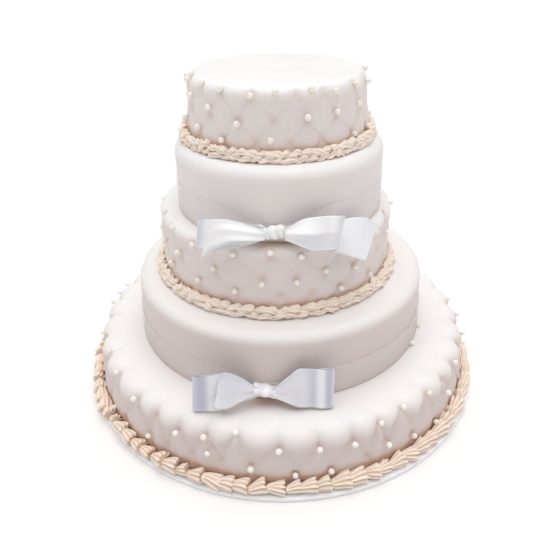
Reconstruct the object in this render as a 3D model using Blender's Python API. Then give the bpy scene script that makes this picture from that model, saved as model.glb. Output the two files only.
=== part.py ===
"""Five-tier wedding cake on a thin round board.

Every tier is one solid of fondant-covered cake, stacked with its front towards -Y. The first, third
and fifth tiers are quilted in diamonds and stand in a piped border, and the second and fourth are
plain, each with a satin ribbon round its foot that is tied in a bow at the front.
Metres, +Z up, with the origin at the middle of the board's underside.
"""

import math
from collections import namedtuple

import bmesh
import bpy
from mathutils import Vector

MM = 0.001
INCH = 0.0254
GAP = 0.3 * MM  # clearance between neighbouring pieces

BOARD_RADIUS = 8 * INCH
BOARD_THICKNESS = 4 * MM
BOARD_EDGE = 0.8 * MM

# A quilt's depth is how far its stitched corners sink, and its phase is the angle, in degrees from
# the front, of a corner in its top row.
Quilt = namedtuple("Quilt", "diamonds rows depth phase")
Border = namedtuple("Border", "shells width height")
Tier = namedtuple("Tier", "name rim_radius foot_radius height x y rounding quilt border")

# From the board upwards. A plain tier has neither a quilt nor a border.
TIERS = (
    Tier("tier_1", 192.5 * MM, 194.0 * MM, 55.0 * MM, -1.8 * MM, 1.8 * MM, 17.0 * MM,
         Quilt(36, 2, 2.4 * MM, -1.5), Border(90, 6.8 * MM, 10.5 * MM)),
    Tier("tier_2", 141.0 * MM, 144.0 * MM, 64.0 * MM, -2.2 * MM, 0.0, 9.0 * MM, None, None),
    Tier("tier_3", 110.5 * MM, 112.0 * MM, 65.0 * MM, -6.0 * MM, 0.0, 8.0 * MM,
         Quilt(18, 3, 2.0 * MM, 2.0), Border(64, 6.5 * MM, 11.5 * MM)),
    Tier("tier_4", 94.0 * MM, 94.5 * MM, 61.0 * MM, -1.8 * MM, -5.0 * MM, 10.0 * MM, None, None),
    Tier("tier_5", 77.0 * MM, 82.5 * MM, 55.5 * MM, -2.8 * MM, 0.0, 8.5 * MM,
         Quilt(18, 3, 1.8 * MM, 7.0), Border(60, 6.5 * MM, 10.0 * MM)),
)
PLAIN_SIDES = 72
ROUNDING_STEPS = 3

# Section of a piped shell: distance out from the wall and height, as shares of its width and height.
SHELL_SECTION = ((0.0, 0.0), (1.0, 0.1), (0.7, 1.0), (0.0, 0.8))
# Along a shell: share of its length, and its swelling there. The tail is thin and the head is full.
SHELL_STATIONS = ((0.0, 0.66), (0.62, 1.0))

RIBBON_THICKNESS = 0.8 * MM
BAND_WIDTH = 29 * MM
BAND_PINCH_REACH = 42 * MM  # each way from the knot, along the wall

KNOT_ROUNDING = 0.35  # share of the knot's depth
LOOP_STEPS = 7
FOLD_STEPS = 6
TAIL_STEPS = 12
TAIL_OUT = 1.7 * MM  # a tail's back, in front of the band
TAIL_LIES = 0.6  # share of a tail's length before it falls, unless its loop ends sooner
TAIL_PINCHED = 2.5 * MM  # height of a tail where it leaves the knot
TAIL_BACK = 3.6 * MM  # height of the edge that rests against the wall
LOOP_OUT = 3.2 * MM  # a loop's back, in front of band and tail

# Lengths run sideways from the knot, "out" away from the wall, and heights from the ledge.
# A knot's size is its width, its depth and its height.
Loop = namedtuple("Loop", "reach fold_radius low high lean")
Tail = namedtuple("Tail", "reach low_out low end_low_out end_low end_high_out end_high")
Bow = namedtuple("Bow", "name tier along knot_size knot_height loops tails")

BOWS = (
    Bow("bow_2", 1, -12 * MM, (16 * MM, 7 * MM, 10 * MM), 14.0 * MM,
        {"left": Loop(63 * MM, 8.0 * MM, 0.8 * MM, 38.5 * MM, 2 * MM),
         "right": Loop(56 * MM, 5.0 * MM, 0.8 * MM, 38.5 * MM, 2 * MM)},
        {}),
    Bow("bow_4", 3, -4 * MM, (18 * MM, 8 * MM, 12 * MM), 11.5 * MM,
        {"left": Loop(61 * MM, 7.0 * MM, 5.5 * MM, 28.0 * MM, 4 * MM),
         "right": Loop(55 * MM, 6.5 * MM, 5.5 * MM, 28.5 * MM, 4 * MM)},
        {"left": Tail(56 * MM, 12 * MM, 1.2 * MM, 20 * MM, -8 * MM, 9 * MM, 3.5 * MM),
         "right": Tail(84 * MM, 8 * MM, 1.2 * MM, 19 * MM, -18 * MM, 12 * MM, 6 * MM)}),
)


def clear_scene():
    for thing in list(bpy.data.objects):
        bpy.data.objects.remove(thing)


def make_material(name, colour, roughness):
    material = bpy.data.materials.new(name)
    material.use_nodes = True
    shader = material.node_tree.nodes["Principled BSDF"]
    shader.inputs["Base Color"].default_value = (*colour, 1.0)
    shader.inputs["Roughness"].default_value = roughness
    shader.inputs["Metallic"].default_value = 0.0
    return material


def add_object(name, bm, material, place=(0.0, 0.0, 0.0), smooth_degrees=35.0):
    bmesh.ops.recalc_face_normals(bm, faces=bm.faces)
    mesh = bpy.data.meshes.new(name)
    bm.to_mesh(mesh)
    bm.free()
    mesh.materials.append(material)
    mesh.shade_smooth()
    mesh.set_sharp_from_angle(angle=math.radians(smooth_degrees))
    thing = bpy.data.objects.new(name, mesh)
    thing.location = place
    bpy.context.scene.collection.objects.link(thing)
    return thing


def smoothstep(share):
    share = min(max(share, 0.0), 1.0)
    return share * share * (3 - 2 * share)


def mix(low, high, share):
    return low + (high - low) * share


def polar(radius, angle, height):
    return Vector((radius * math.cos(angle), radius * math.sin(angle), height))


def wall_radius(tier, height):
    """Radius of a tier's wall at a height above its foot."""
    return mix(tier.foot_radius, tier.rim_radius, height / tier.height)


def on_wall(tier, along, out, height):
    """A point that follows a tier's wall, `along` it from the front and `out` from it."""
    radius = tier.foot_radius + out
    return polar(radius, -math.pi / 2 + along / tier.foot_radius, height)


def across_front(tier, along, out, height):
    """A point that runs straight across the tier's front, `out` from where it touches the wall."""
    return Vector((along, -tier.foot_radius - out, height))


def levels():
    """Height of each tier's foot above the floor."""
    level = BOARD_THICKNESS
    for tier in TIERS:
        yield level + GAP
        level += GAP + tier.height


def make_board(material):
    bm = bmesh.new()
    bmesh.ops.create_cone(
        bm, cap_ends=True, segments=PLAIN_SIDES, radius1=BOARD_RADIUS, radius2=BOARD_RADIUS,
        depth=BOARD_THICKNESS)
    rims = [edge for edge in bm.edges if abs(edge.verts[0].co.z - edge.verts[1].co.z) < GAP]
    bmesh.ops.bevel(bm, geom=rims, offset=BOARD_EDGE, segments=1, affect="EDGES")
    add_object("board", bm, material, (0.0, 0.0, BOARD_THICKNESS / 2))


def make_plain_tier(tier, foot, material):
    bm = bmesh.new()
    bmesh.ops.create_cone(
        bm, cap_ends=True, segments=PLAIN_SIDES, radius1=tier.foot_radius,
        radius2=tier.rim_radius, depth=tier.height)
    rim = [edge for edge in bm.edges if min(vert.co.z for vert in edge.verts) > 0]
    bmesh.ops.bevel(
        bm, geom=rim, offset=tier.rounding, segments=ROUNDING_STEPS, profile=0.5, affect="EDGES")
    add_object(tier.name, bm, material, (tier.x, tier.y, foot + tier.height / 2))


def quilted_rings(tier):
    """Rings of (radius, height, share of the quilt's depth) from a quilted tier's foot to its top."""
    rounding_foot = tier.height - tier.rounding
    rings = []
    for row in range(tier.quilt.rows + 1):
        height = rounding_foot * row / tier.quilt.rows
        rings.append((wall_radius(tier, height), height, 1.0 if row else 0.0))
    for step in range(1, ROUNDING_STEPS + 1):
        turn = step / ROUNDING_STEPS * math.pi / 2
        radius = tier.rim_radius - tier.rounding * (1 - math.cos(turn))
        height = rounding_foot + tier.rounding * math.sin(turn)
        rings.append((radius, height, math.cos(turn)))
    return rings


def make_quilted_tier(tier, foot, material):
    """A wall of padded diamonds. Their stitched corners sink, and the creases between them run
    from corner to corner, so each square of the grid is split along its sunk diagonal."""
    columns = 2 * tier.quilt.diamonds
    rings = quilted_rings(tier)
    top_row = tier.quilt.rows
    first_angle = math.radians(tier.quilt.phase - 90) - 2 * math.pi / columns * (top_row % 2)
    bm = bmesh.new()
    grid = []
    for number, (radius, height, share) in enumerate(rings):
        row = min(number, top_row)
        ring = []
        for column in range(columns):
            stitched = (row + column) % 2 == 0
            sunk = tier.quilt.depth * share if stitched else 0.0
            angle = first_angle + 2 * math.pi * column / columns
            ring.append(bm.verts.new(polar(radius - sunk, angle, height)))
        grid.append(ring)
    for number in range(len(grid) - 1):
        low_ring, high_ring = grid[number], grid[number + 1]
        padded = number < top_row
        for column in range(columns):
            beside = (column + 1) % columns
            corners = [low_ring[column], low_ring[beside], high_ring[beside], high_ring[column]]
            if not padded:
                bm.faces.new(corners)
                continue
            if (number + column) % 2:
                corners = corners[1:] + corners[:1]
            bm.faces.new(corners[:3])
            bm.faces.new([corners[2], corners[3], corners[0]])
    bm.faces.new(list(reversed(grid[0])))
    bm.faces.new(grid[-1])
    add_object(tier.name, bm, material, (tier.x, tier.y, foot))


def make_border(tier, foot, material):
    """A closed ring of piped shells round a tier's foot, each one's head over the next one's tail."""
    border = tier.border
    stations = [
        (2 * math.pi * (shell + share) / border.shells, swell)
        for shell in range(border.shells)
        for share, swell in SHELL_STATIONS
    ]
    bm = bmesh.new()
    rings = [
        [
            bm.verts.new(polar(
                tier.foot_radius + GAP + border.width * out * (swell if out else 1.0),
                angle,
                border.height * up * swell))
            for out, up in SHELL_SECTION
        ]
        for angle, swell in stations
    ]
    join_sections(bm, rings, closed=True)
    add_object(f"border_{tier.name[-1]}", bm, material, (tier.x, tier.y, foot))


def join_sections(bm, sections, closed):
    """Faces between neighbouring sections, each a loop of vertices."""
    count = len(sections)
    for number in range(count if closed else count - 1):
        here, there = sections[number], sections[(number + 1) % count]
        for corner in range(len(here)):
            beside = (corner + 1) % len(here)
            bm.faces.new([here[corner], here[beside], there[beside], there[corner]])


def make_band(bow, tier, foot, material):
    """A ribbon round the foot of a plain tier, drawn together where the knot holds it."""
    half_knot = bow.knot_size[2] / 2
    bm = bmesh.new()
    sections = []
    for side in range(PLAIN_SIDES):
        angle = 2 * math.pi * side / PLAIN_SIDES
        from_front = (angle + math.pi / 2 + math.pi) % (2 * math.pi) - math.pi
        along = from_front * tier.foot_radius - bow.along
        spread = smoothstep(abs(along) / BAND_PINCH_REACH)
        low = mix(bow.knot_height - half_knot, GAP, spread)
        high = mix(bow.knot_height + half_knot, BAND_WIDTH, spread)
        sections.append([
            bm.verts.new(polar(wall_radius(tier, height) + out, angle, height))
            for out, height in (
                (GAP, low),
                (GAP + RIBBON_THICKNESS, low),
                (GAP + RIBBON_THICKNESS, high),
                (GAP, high),
            )
        ])
    join_sections(bm, sections, closed=True)
    add_object(f"band_{tier.name[-1]}", bm, material, (tier.x, tier.y, foot))


def make_strip(name, tier, foot, sections, material):
    """A ribbon from pairs of points, its lower and its upper edge, given a thickness."""
    bm = bmesh.new()
    edges = [[bm.verts.new(point) for point in pair] for pair in sections]
    for here, there in zip(edges, edges[1:]):
        bm.faces.new([here[0], there[0], there[1], here[1]])
    strip = add_object(name, bm, material, (tier.x, tier.y, foot))
    thicken = strip.modifiers.new("thickness", "SOLIDIFY")
    thicken.thickness = RIBBON_THICKNESS
    thicken.offset = 0.0
    thicken.use_even_offset = True
    return strip


def loop_path(loop, start, back_out):
    """Points (along, out, spread) of a bow's loop: along its back, round its fold and back in front."""
    turn_at = loop.reach - loop.fold_radius
    middle = back_out + loop.fold_radius
    front_out = middle + loop.fold_radius
    knot_out = back_out + 2 * RIBBON_THICKNESS + GAP
    back = [step / LOOP_STEPS for step in range(LOOP_STEPS)]
    path = [(mix(start, turn_at, share), back_out, share) for share in back]
    for step in range(FOLD_STEPS + 1):
        turn = math.pi * step / FOLD_STEPS
        path.append((
            turn_at + loop.fold_radius * math.sin(turn),
            middle - loop.fold_radius * math.cos(turn),
            1.0))
    for share in reversed(back):
        path.append((mix(start, turn_at, share), mix(knot_out, front_out, smoothstep(share)), share))
    return path


def make_loop(bow, side, loop, tier, foot, material):
    direction = -1 if side == "left" else 1
    start = bow.knot_size[0] / 2 + GAP + RIBBON_THICKNESS / 2
    half_knot = bow.knot_size[2] / 2
    sections = []
    for along, out, share in loop_path(loop, start, LOOP_OUT):
        spread = smoothstep(share)
        low = mix(bow.knot_height - half_knot, loop.low, spread)
        high = mix(bow.knot_height + half_knot, loop.high, spread)
        place = bow.along + direction * along
        leaning = loop.lean * spread
        sections.append((
            across_front(tier, place, out + leaning, low),
            across_front(tier, place, out, high)))
    make_strip(f"{bow.name}_loop_{side}", tier, foot, sections, material)


def make_tail(bow, side, tail, tier, foot, material):
    """A ribbon's end. It leaves the knot below the loop, lies over the ledge and falls past its edge."""
    direction = -1 if side == "left" else 1
    start = bow.knot_size[0] / 2 + GAP + RIBBON_THICKNESS / 2
    leaves_knot = bow.knot_height - bow.knot_size[2] / 2 - 2 * GAP
    falls_from = min(bow.loops[side].reach, tail.reach * TAIL_LIES)
    sections = []
    for step in range(TAIL_STEPS + 1):
        along = mix(start, tail.reach, step / TAIL_STEPS)
        spread = smoothstep((along - start) / (falls_from - start))
        fall = smoothstep((along - falls_from) / (tail.reach - falls_from))
        place = bow.along + direction * along
        low_out = mix(mix(TAIL_OUT, tail.low_out, spread), tail.end_low_out, fall)
        low = mix(mix(leaves_knot - TAIL_PINCHED, tail.low, spread), tail.end_low, fall)
        high_out = mix(TAIL_OUT, tail.end_high_out, fall)
        high = mix(mix(leaves_knot, TAIL_BACK, spread), tail.end_high, fall)
        sections.append((on_wall(tier, place, low_out, low), on_wall(tier, place, high_out, high)))
    make_strip(f"{bow.name}_tail_{side}", tier, foot, sections, material)


def make_knot(bow, tier, foot, material):
    wide, deep, tall = bow.knot_size
    bm = bmesh.new()
    bmesh.ops.create_cube(bm, size=1.0)
    bmesh.ops.scale(bm, vec=(wide, deep, tall), verts=bm.verts)
    bmesh.ops.bevel(
        bm, geom=bm.edges, offset=min(bow.knot_size) * KNOT_ROUNDING, segments=2, affect="EDGES")
    stand_off = GAP + RIBBON_THICKNESS + GAP + deep / 2
    middle = on_wall(tier, bow.along, stand_off, bow.knot_height)
    turn = bow.along / tier.foot_radius
    knot = add_object(f"{bow.name}_knot", bm, material)
    knot.location = middle + Vector((tier.x, tier.y, foot))
    knot.rotation_euler = (0.0, 0.0, turn)


def build():
    clear_scene()
    fondant = make_material("fondant", (0.86, 0.80, 0.76), 0.45)
    piping = make_material("piping_cream", (0.86, 0.72, 0.58), 0.5)
    satin = make_material("satin_ribbon", (0.84, 0.86, 0.90), 0.3)
    card = make_material("board_card", (0.88, 0.88, 0.88), 0.5)
    feet = list(levels())
    make_board(card)
    for tier, foot in zip(TIERS, feet):
        if tier.quilt:
            make_quilted_tier(tier, foot, fondant)
            make_border(tier, foot, piping)
        else:
            make_plain_tier(tier, foot, fondant)
    for bow in BOWS:
        tier, foot = TIERS[bow.tier], feet[bow.tier]
        make_band(bow, tier, foot, satin)
        make_knot(bow, tier, foot, satin)
        for side, loop in bow.loops.items():
            make_loop(bow, side, loop, tier, foot, satin)
        for side, tail in bow.tails.items():
            make_tail(bow, side, tail, tier, foot, satin)


build()
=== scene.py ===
import itertools
import math
import random
from collections import namedtuple

import bmesh
import bpy
import numpy as np
from mathutils import Matrix, Vector


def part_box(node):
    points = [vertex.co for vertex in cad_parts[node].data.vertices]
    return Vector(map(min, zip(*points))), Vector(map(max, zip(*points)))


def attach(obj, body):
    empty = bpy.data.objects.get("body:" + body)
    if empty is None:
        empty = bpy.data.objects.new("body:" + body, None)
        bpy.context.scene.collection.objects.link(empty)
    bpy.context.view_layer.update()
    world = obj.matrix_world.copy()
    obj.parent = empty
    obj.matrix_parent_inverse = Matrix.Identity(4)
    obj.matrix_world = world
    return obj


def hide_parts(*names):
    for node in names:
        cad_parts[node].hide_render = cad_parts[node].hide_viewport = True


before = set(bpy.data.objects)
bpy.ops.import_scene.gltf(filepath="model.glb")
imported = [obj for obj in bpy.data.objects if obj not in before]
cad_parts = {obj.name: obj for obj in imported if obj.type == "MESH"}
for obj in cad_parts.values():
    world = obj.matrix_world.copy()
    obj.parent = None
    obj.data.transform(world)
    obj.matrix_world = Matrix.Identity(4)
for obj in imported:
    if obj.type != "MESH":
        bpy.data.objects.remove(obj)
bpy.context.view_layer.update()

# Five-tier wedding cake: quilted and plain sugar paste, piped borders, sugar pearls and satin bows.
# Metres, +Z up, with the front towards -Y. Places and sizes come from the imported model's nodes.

MM = 0.001
TURN = 2 * math.pi
FRONT = -math.pi / 2

TIERS = ("tier_1", "tier_2", "tier_3", "tier_4", "tier_5")


# ---------------------------------------------------------------- handling of pieces

def deselect_all():
    for thing in bpy.context.selected_objects:
        thing.select_set(False)


def take_up(piece):
    """Makes a piece the only one selected, and the active one."""
    deselect_all()
    piece.select_set(True)
    bpy.context.view_layer.objects.active = piece


def pick(piece, kind, test):
    """In edit mode, selects only the edges or the faces that pass a test."""
    mesh = bmesh.from_edit_mesh(piece.data)
    bpy.ops.mesh.select_mode(type={"edges": "EDGE", "faces": "FACE"}[kind])
    bpy.ops.mesh.select_all(action="DESELECT")
    for element in getattr(mesh, kind):
        if test(element):
            element.select_set(True)
    mesh.select_flush_mode()
    bmesh.update_edit_mesh(piece.data)


def apply_modifier(piece, kind, **settings):
    take_up(piece)
    modifier = piece.modifiers.new(kind.lower(), kind)
    for name, value in settings.items():
        setattr(modifier, name, value)
    bpy.ops.object.modifier_apply(modifier=modifier.name)


def finish_piece(piece, name, material, slot, *nodes, smooth_degrees=None):
    """Fixes a piece's place in its mesh, gives it its name, finish and body, and hides the CAD nodes it
    stands for.
    """
    take_up(piece)
    bpy.ops.object.transform_apply(location=True, rotation=True, scale=True)
    if smooth_degrees is None:
        bpy.ops.object.shade_smooth()
    else:
        bpy.ops.object.shade_smooth_by_angle(angle=math.radians(smooth_degrees))
    piece.name = name
    piece.data.name = name
    piece.data.materials.clear()
    piece.data.materials.append(material)
    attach(piece, "root")
    if nodes:
        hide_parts(*nodes)
    return piece


def points_of(piece):
    flat = np.empty(len(piece.data.vertices) * 3)
    piece.data.vertices.foreach_get("co", flat)
    return flat.reshape(-1, 3)


def move_points(piece, points):
    piece.data.vertices.foreach_set("co", np.ascontiguousarray(points, np.float32).ravel())
    piece.data.update()


def paint(piece, name, values):
    """A value at each vertex, for the piece's material to read."""
    layer = piece.data.attributes.new(name, "FLOAT", "POINT")
    layer.data.foreach_set("value", np.ascontiguousarray(values, np.float32))


def sink_relief(piece, depths):
    """Presses the surface in along its normals, by a depth of 0 or more at each vertex."""
    deepest = float(depths.max())
    group = piece.vertex_groups.new(name="relief")
    for vertex, share in enumerate(np.maximum(depths, 0) / deepest):
        group.add([vertex], float(share), "REPLACE")
    apply_modifier(piece, "DISPLACE", strength=-deepest, mid_level=0.0, vertex_group="relief")
    piece.vertex_groups.clear()


def join_copies(pattern, places, tints=None):
    """One mesh of a pattern piece repeated at each place. The pattern is used up."""
    mesh = bmesh.new()
    for number, place in enumerate(places):
        copy = pattern.data.copy()
        copy.transform(place)
        if tints:
            layer = copy.attributes.get("tint") or copy.attributes.new("tint", "FLOAT", "POINT")
            layer.data.foreach_set("value", [tints[number]] * len(copy.vertices))
        mesh.from_mesh(copy)
        bpy.data.meshes.remove(copy)
    mesh.to_mesh(pattern.data)
    mesh.free()
    return pattern


def smoothstep(share):
    share = np.clip(share, 0.0, 1.0)
    return share * share * (3 - 2 * share)


def mix(low, high, share):
    return low + (high - low) * share


def waves(angle, height, seed, scale):
    """A slow unevenness between about -1 and 1 that joins up round a tier."""
    draw = random.Random(seed)
    total = np.zeros_like(angle)
    for _ in range(6):
        turns = draw.randint(2, 9)
        total = total + np.sin(
            turns * angle + height / scale * draw.uniform(0.5, 1.6) + draw.uniform(0, TURN))
    return total / 3.2


# ---------------------------------------------------------------- finishes

PASTE_WARM = (0.925, 0.897, 0.882)
PASTE_COOL = (0.92, 0.91, 0.905)
PASTE_SHADE = (0.71, 0.63, 0.61)
SHADE_AMBER = (0.66, 0.38, 0.21)
GROOVE_SHADE_AMBER = (0.62, 0.36, 0.18)
ICING_PALE = (1.0, 0.91, 0.82)
ICING_PEACH = (1.0, 0.85, 0.73)
PEARL_WHITE = (0.98, 0.96, 0.92)
PEARL_IVORY = (0.95, 0.87, 0.76)
SATIN_LIT = (1.0, 1.0, 1.0)
SATIN_SHADE = (0.495, 0.50, 0.62)
SHEER_PALE = (0.95, 0.93, 0.94)
SHEER_DEEP = (0.88, 0.84, 0.85)
BOARD_WHITE = (0.95, 0.96, 0.98)
BOARD_SHADE = (0.90, 0.91, 0.94)
FLOOR_WHITE = (0.90, 0.89, 0.885)


class Value:
    """A shader socket that can be calculated with: each operator adds its Math node."""

    def __init__(self, finish, socket):
        self.finish = finish
        self.socket = socket

    def calculate(self, operation, first, second, clamp=False):
        settings = {"operation": operation, "use_clamp": clamp}
        return self.finish.node("ShaderNodeMath", settings, {0: first, 1: second})

    def __add__(self, other):
        return self.calculate("ADD", self, other)

    def __mul__(self, other):
        return self.calculate("MULTIPLY", self, other)

    def clamped(self):
        return self.calculate("ADD", self, 0.0, clamp=True)

    __radd__ = __add__
    __rmul__ = __mul__


class Finish:
    """A material built round its Principled shader."""

    def __init__(self, name, **constants):
        self.material = bpy.data.materials.new(name)
        self.material.use_nodes = True
        self.tree = self.material.node_tree
        self.shader = self.tree.nodes["Principled BSDF"]
        for socket, value in constants.items():
            self.shader.inputs[socket.replace("_", " ")].default_value = value

    def link(self, value, socket):
        if isinstance(value, Value):
            self.tree.links.new(value.socket, socket)
        else:
            socket.default_value = value

    def node(self, kind, settings=None, inputs=None, output=0):
        node = self.tree.nodes.new(kind)
        for name, value in (settings or {}).items():
            setattr(node, name, value)
        for name, value in (inputs or {}).items():
            self.link(value, node.inputs[name])
        return Value(self, node.outputs[output])

    def surface(self, **values):
        for socket, value in values.items():
            self.link(value, self.shader.inputs[socket.replace("_", " ")])

    def place(self):
        return self.node("ShaderNodeTexCoord", output="Object")

    def attribute(self, name):
        return self.node("ShaderNodeAttribute", {"attribute_name": name}, output="Fac")

    def speckle(self, where, scale, detail=2.0):
        inputs = {"Vector": where, "Scale": scale, "Detail": detail}
        return self.node("ShaderNodeTexNoise", {}, inputs, output="Fac")

    def blend(self, share, first, second):
        settings = {"data_type": "RGBA"}
        inputs = {0: share, 6: colour(first), 7: colour(second)}
        return self.node("ShaderNodeMix", settings, inputs, output=2)

    def bump(self, height, strength, distance):
        inputs = {"Height": height, "Strength": strength, "Distance": distance}
        return self.node("ShaderNodeBump", {}, inputs)


def colour(value):
    return value if isinstance(value, Value) else (*value, 1.0)


def sugar_paste():
    """Rolled fondant with a soft sheen: painted shade low on its walls, and painted amber shade near
    the piping, round the pearls and under the bows.
    """
    finish = Finish(
        "sugar_paste", Subsurface_Weight=0.25, Subsurface_Radius=(1.0, 0.55, 0.4),
        Subsurface_Scale=4 * MM, Specular_IOR_Level=0.4)
    where = finish.place()
    cloud = finish.speckle(where, 22.0)
    grain = finish.speckle(where, 900.0, 3.0)
    patches = finish.speckle(where, 120.0)
    tone = finish.blend(cloud, PASTE_WARM, PASTE_COOL)
    # Painted shade: walls, folds over the rim and lower tops darker and pinker.
    wall = finish.blend(finish.attribute("painted_shade"), tone, PASTE_SHADE)
    # Painted amber shade at the feet, round the stitches and under the bows, broken into patches.
    warm_shade = (finish.attribute("warm_shade") * (patches + 0.5)).clamped()
    finish.surface(
        Base_Color=finish.blend(warm_shade, wall, SHADE_AMBER), Roughness=0.36 + 0.22 * cloud,
        Normal=finish.bump(grain, 0.25, 0.05 * MM))
    return finish.material


def piped_icing():
    """Buttercream from a star nozzle: pale peach on its ridges, with painted amber shade down in its
    grooves.
    """
    finish = Finish("piped_icing", Specular_IOR_Level=0.5)
    where = finish.place()
    groove = finish.attribute("groove")
    patch = finish.speckle(where, 45.0)
    ridge = finish.blend(patch, ICING_PALE, ICING_PEACH)
    finish.surface(
        Base_Color=finish.blend(groove, ridge, GROOVE_SHADE_AMBER), Roughness=0.38 + 0.2 * patch,
        Normal=finish.bump(finish.speckle(where, 1400.0, 3.0), 0.3, 0.08 * MM))
    return finish.material


def pearl_shell():
    """A sugar pearl, each a slightly different ivory under a clear coat."""
    finish = Finish(
        "pearl_shell", Coat_Weight=0.6, Coat_Roughness=0.12, Specular_IOR_Level=0.6,
        Sheen_Weight=0.15)
    where = finish.place()
    tint = finish.attribute("tint")
    finish.surface(
        Base_Color=finish.blend(tint, PEARL_WHITE, PEARL_IVORY),
        Roughness=0.22 + 0.15 * finish.speckle(where, 700.0))
    return finish.material


def satin():
    """Double-faced satin: fine threads along the ribbon, with painted light and painted shade in
    stripes and panels.
    """
    finish = Finish("satin", Sheen_Weight=1.0, Sheen_Roughness=0.5, Specular_IOR_Level=0.7)
    weave = finish.node("ShaderNodeUVMap", {"uv_map": "UVMap"})
    threads = finish.node("ShaderNodeMapping", {}, {"Vector": weave, "Scale": (12.0, 260.0, 1.0)})
    float_threads = finish.speckle(threads, 1.0, 1.0)
    finish.surface(
        Base_Color=finish.blend(finish.attribute("painted_light"), SATIN_SHADE, SATIN_LIT),
        Roughness=0.26 + 0.16 * float_threads,
        Normal=finish.bump(float_threads, 0.25, 0.06 * MM))
    return finish.material


def sheer_satin():
    """The thin ribbon of the bands, through which the fondant shows."""
    finish = Finish(
        "sheer_satin", Sheen_Weight=0.2, Sheen_Roughness=0.4, Specular_IOR_Level=0.6, Alpha=0.32)
    weave = finish.node("ShaderNodeUVMap", {"uv_map": "UVMap"})
    threads = finish.node("ShaderNodeMapping", {}, {"Vector": weave, "Scale": (40.0, 300.0, 1.0)})
    float_threads = finish.speckle(threads, 1.0, 1.0)
    finish.surface(
        Base_Color=finish.blend(float_threads, SHEER_PALE, SHEER_DEEP),
        Roughness=0.3 + 0.16 * float_threads)
    return finish.material


def board_paper():
    """The board's white covering, faintly dimpled."""
    finish = Finish("board_paper", Specular_IOR_Level=0.5)
    dimples = finish.speckle(finish.place(), 420.0, 1.0)
    finish.surface(
        Base_Color=finish.blend(dimples, BOARD_WHITE, BOARD_SHADE), Roughness=0.3 + 0.2 * dimples,
        Normal=finish.bump(dimples, 0.3, 0.1 * MM))
    return finish.material


# ---------------------------------------------------------------- tiers

# A tier's shape beside its CAD box: rim as a share of the foot, rounding of the rim, and how finely
# its wall and the outer part of its top are divided.
Form = namedtuple("Form", "rim_share rounding columns wall_cuts top_reach top_cuts")
# A quilt's stitches stand in rows down the wall, each row half a diamond on from the last. A row
# lists its uneven stitches in front, as (degrees from the front, distance up the wall and in over
# the rim), and goes on evenly round the back. A seam is as deep as its groove, the pillow beside it
# and the dimple at its stitches make it.
Quilt = namedtuple(
    "Quilt", "diamonds rows groove groove_reach pillow pillow_reach dimple firm_from firm_over "
    "slack fade_from fade_over seed")
Place = namedtuple("Place", "x y foot height foot_radius rim_radius")

FORMS = {
    "tier_1": Form(0.992, 17.0 * MM, 900, 34, 38 * MM, 22),
    "tier_2": Form(0.978, 9.0 * MM, 288, 24, 0.0, 0),
    "tier_3": Form(0.988, 8.0 * MM, 648, 54, 12 * MM, 8),
    "tier_4": Form(0.995, 10.5 * MM, 240, 22, 0.0, 0),
    "tier_5": Form(0.936, 8.5 * MM, 540, 46, 8 * MM, 7),
}


def level(run, *angles):
    """A row of stitches at one height, in millimetres up the wall."""
    return tuple((angle, run) for angle in angles)


QUILTS = {
    "tier_1": Quilt(
        36,
        (((-56, 54), (-44, 49), (-36, 46), (-28, 41), (-20, 46), (-12, 55),
          (-1, 42), (9, 41), (18, 39), (26, 50), (34, 54), (44, 51), (53, 48),
          (61, 49)),
         ((-50, 14), (-38, 20), (-32, 20), (-24, 21), (-16, 22), (-8, 21), (3, 15),
          (12, 15), (22, 18), (28, 25), (37, 18), (47, 12), (57, 16), (66, 18))),
        0.8 * MM, 2.2 * MM, 4.8 * MM, 9.0 * MM, 1.8 * MM, 14 * MM, 22 * MM, 0.3,
        48 * MM, 30 * MM, 11),
    "tier_3": Quilt(
        18,
        (level(58, -76, -58, -39, -18, -2, 12, 30, 49, 66),
         level(37, -67, -50, -28, -6, 9, 22, 38, 56, 74),
         level(20, -58, -38, -18, 2, 16, 30, 49, 65, 82)),
        0.35 * MM, 1.6 * MM, 1.7 * MM, 7.5 * MM, 1.0 * MM, 0.0, 1 * MM, 1.0,
        60 * MM, 10 * MM, 23),
    "tier_5": Quilt(
        18,
        (level(50, -90, -72, -53, -35, -15, 11, 28, 53, 72),
         level(31, -80, -63, -43, -23, -2, 17, 36, 60, 82),
         level(14, -72, -53, -33, -12, 7, 26, 50, 70, 92)),
        0.7 * MM, 0.9 * MM, 1.1 * MM, 5.5 * MM, 0.8 * MM, 0.0, 1 * MM, 1.0,
        51 * MM, 7 * MM, 35),
}
SEAM_SOFTNESS = 1.2 * MM
SEAM_REACH = 14 * MM  # how far above and below its ends a seam is felt, and how far round
SEAM_REACH_DEGREES = 25
DIMPLE_REACH = 3.4 * MM
FOLD_LENGTH = 40 * MM  # of the folds from the top row's stitches in over the rim
RIM_STEPS = 14
PADDED_SWELL = 0.35 * MM  # how strong the slow unevenness of a quilted wall is, and of a plain one
PLAIN_SWELL = 0.45 * MM
FAR = 1.0  # in metres, where there is no seam or stitch


def place_of(node):
    low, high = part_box(node)
    foot_radius = (high.x - low.x) / 2
    rim = FORMS[node].rim_share * foot_radius
    return Place(
        (low.x + high.x) / 2, (low.y + high.y) / 2, low.z, high.z - low.z, foot_radius, rim)


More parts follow.
